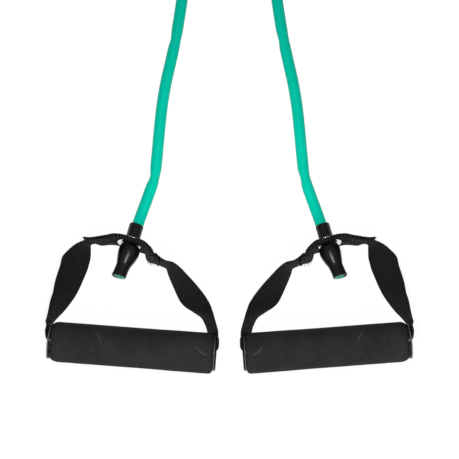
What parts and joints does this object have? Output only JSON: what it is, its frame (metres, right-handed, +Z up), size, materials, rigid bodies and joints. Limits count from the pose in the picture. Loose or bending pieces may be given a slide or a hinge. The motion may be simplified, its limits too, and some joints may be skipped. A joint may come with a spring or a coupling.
{
  "type": "resistance band",
  "caption": "Elastic exercise tube with a foam-grip stirrup handle of webbing on each end, laid flat with the tube's spare length coiled.",
  "frame": {"origin": "on the surface that the band lies on, under the middle of the box around the two handles, without the tube", "axes": "+X across both handles, +Y from the grips along the tube towards its coil, +Z up; the handles mirror each other in x = 0"},
  "size_m": [0.2998, 0.4365, 0.032],
  "materials": {
    "foam": "matte",
    "core_plastic": "matte",
    "cap_plastic": "satin",
    "webbing": "matte",
    "thread": "matte",
    "nickel": "polished",
    "sleeve_plastic": "gloss",
    "tube_rubber": "satin",
    "stopper_plastic": "satin"
  },
  "bodies": {
    "band": {"tube_coil": "tube_rubber", "tube_lead_left": "tube_rubber", "tube_lead_right": "tube_rubber", "left_plug_sleeve": "sleeve_plastic", "left_tube_end": "tube_rubber", "left_stopper_bead": "stopper_plastic", "right_plug_sleeve": "sleeve_plastic", "right_tube_end": "tube_rubber", "right_stopper_bead": "stopper_plastic"},
    "left_head": {"left_strap_head": "webbing", "left_stitching": "thread", "left_eyelet": "nickel", "left_eyelet_washer": "nickel"},
    "left_loop": {"left_strap_loop": "webbing"},
    "left_grip": {"left_foam_grip": "foam", "left_grip_core": "core_plastic", "left_outer_end_cap": "cap_plastic", "left_inner_end_cap": "cap_plastic"},
    "right_head": {"right_strap_head": "webbing", "right_stitching": "thread", "right_eyelet": "nickel", "right_eyelet_washer": "nickel"},
    "right_loop": {"right_strap_loop": "webbing"},
    "right_grip": {"right_foam_grip": "foam", "right_grip_core": "core_plastic", "right_outer_end_cap": "cap_plastic", "right_inner_end_cap": "cap_plastic"}
  },
  "joints": [
    {"name": "left_swivel", "type": "hinge", "parent": "band", "child": "left_head", "pos_m": [-0.07905, 0.04423, 0.01235], "axis": [0.3075, 0.888, -0.342], "continuous": true},
    {"name": "left_fold", "type": "hinge", "parent": "left_head", "child": "left_loop", "pos_m": [-0.07956, 0.03684, 0.01235], "axis": [-0.9578, 0.2874, 0], "range_deg": [-75, 105]},
    {"name": "left_grip_spin", "type": "hinge", "parent": "left_loop", "child": "left_grip", "pos_m": [-0.0786, -0.0403, 0.016], "axis": [0.9977, -0.068, 0], "continuous": true},
    {"name": "right_swivel", "type": "hinge", "parent": "band", "child": "right_head", "pos_m": [0.07905, 0.04423, 0.01235], "axis": [-0.3075, 0.888, -0.342], "continuous": true},
    {"name": "right_fold", "type": "hinge", "parent": "right_head", "child": "right_loop", "pos_m": [0.07956, 0.03684, 0.01235], "axis": [-0.9578, -0.2874, 0], "range_deg": [-75, 105]},
    {"name": "right_grip_spin", "type": "hinge", "parent": "right_loop", "child": "right_grip", "pos_m": [0.0786, -0.0403, 0.016], "axis": [0.9977, 0.068, 0], "continuous": true}
  ]
}
